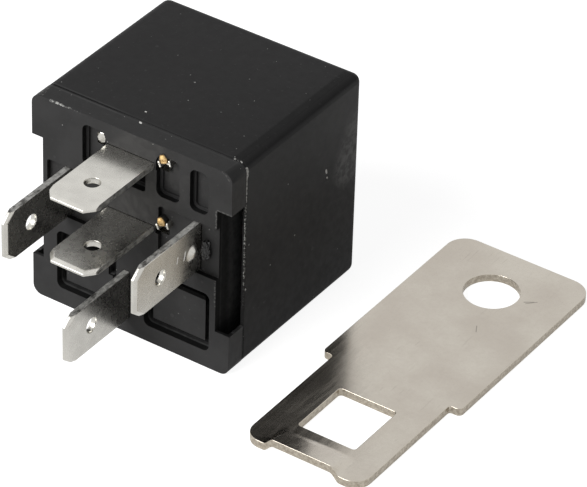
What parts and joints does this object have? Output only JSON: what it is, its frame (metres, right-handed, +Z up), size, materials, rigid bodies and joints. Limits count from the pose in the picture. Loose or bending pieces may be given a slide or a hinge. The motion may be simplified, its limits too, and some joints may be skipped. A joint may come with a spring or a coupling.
{
  "type": "automotive relay",
  "caption": "Cube-shaped plug-in changeover relay with flat blade terminals, an electromagnet and spring contact inside, and its flat mounting bracket.",
  "frame": {"origin": "on the surface that the relay lies on, under the middle of its body, level with the joint between the base's collar and the cover", "axes": "+Z up from the side that the relay lies on, -Y along the blades away from the body, +X towards blade 85 and the bracket"},
  "size_m": [0.052, 0.0492, 0.0272],
  "materials": {
    "black_plastic": "fine moulded texture",
    "black_plastic_base": "moulded, satin",
    "tinned_brass": "tin plated, satin",
    "nickel_steel": "nickel plated, satin",
    "soft_iron": "zinc plated",
    "copper_wire": "enamelled copper",
    "bobbin_plastic": "moulded",
    "spring_bronze": "rolled",
    "rivet_steel": "plated",
    "contact_silver": "polished silver alloy",
    "solder": "bright solder"
  },
  "bodies": {
    "root": {"cover": "black_plastic", "base": "black_plastic_base", "terminal_87": "tinned_brass", "terminal_87a": "tinned_brass", "terminal_86": "tinned_brass", "terminal_85": "tinned_brass", "terminal_30": "tinned_brass", "bobbin": "bobbin_plastic", "coil_winding": "copper_wire", "coil_core": "soft_iron", "yoke": "soft_iron", "coil_lead_86": "copper_wire", "coil_lead_85": "copper_wire", "solder_86": "solder", "solder_85": "solder", "yoke_rivets": "rivet_steel", "contact_87": "contact_silver", "contact_87a": "contact_silver", "mounting_bracket": "nickel_steel"},
    "armature": {"armature": "soft_iron", "contact_spring": "spring_bronze", "armature_rivets": "rivet_steel", "moving_contact": "contact_silver"}
  },
  "joints": [
    {"name": "armature_pivot", "type": "hinge", "parent": "root", "child": "armature", "pos_m": [0, 0.01625, 0.0032], "axis": [1, 0, 0], "range_deg": [0, 2.89], "stiffness_Nm_per_rad": 0.01, "springref_deg": -34.38, "deforming": ["contact_spring"]}
  ]
}
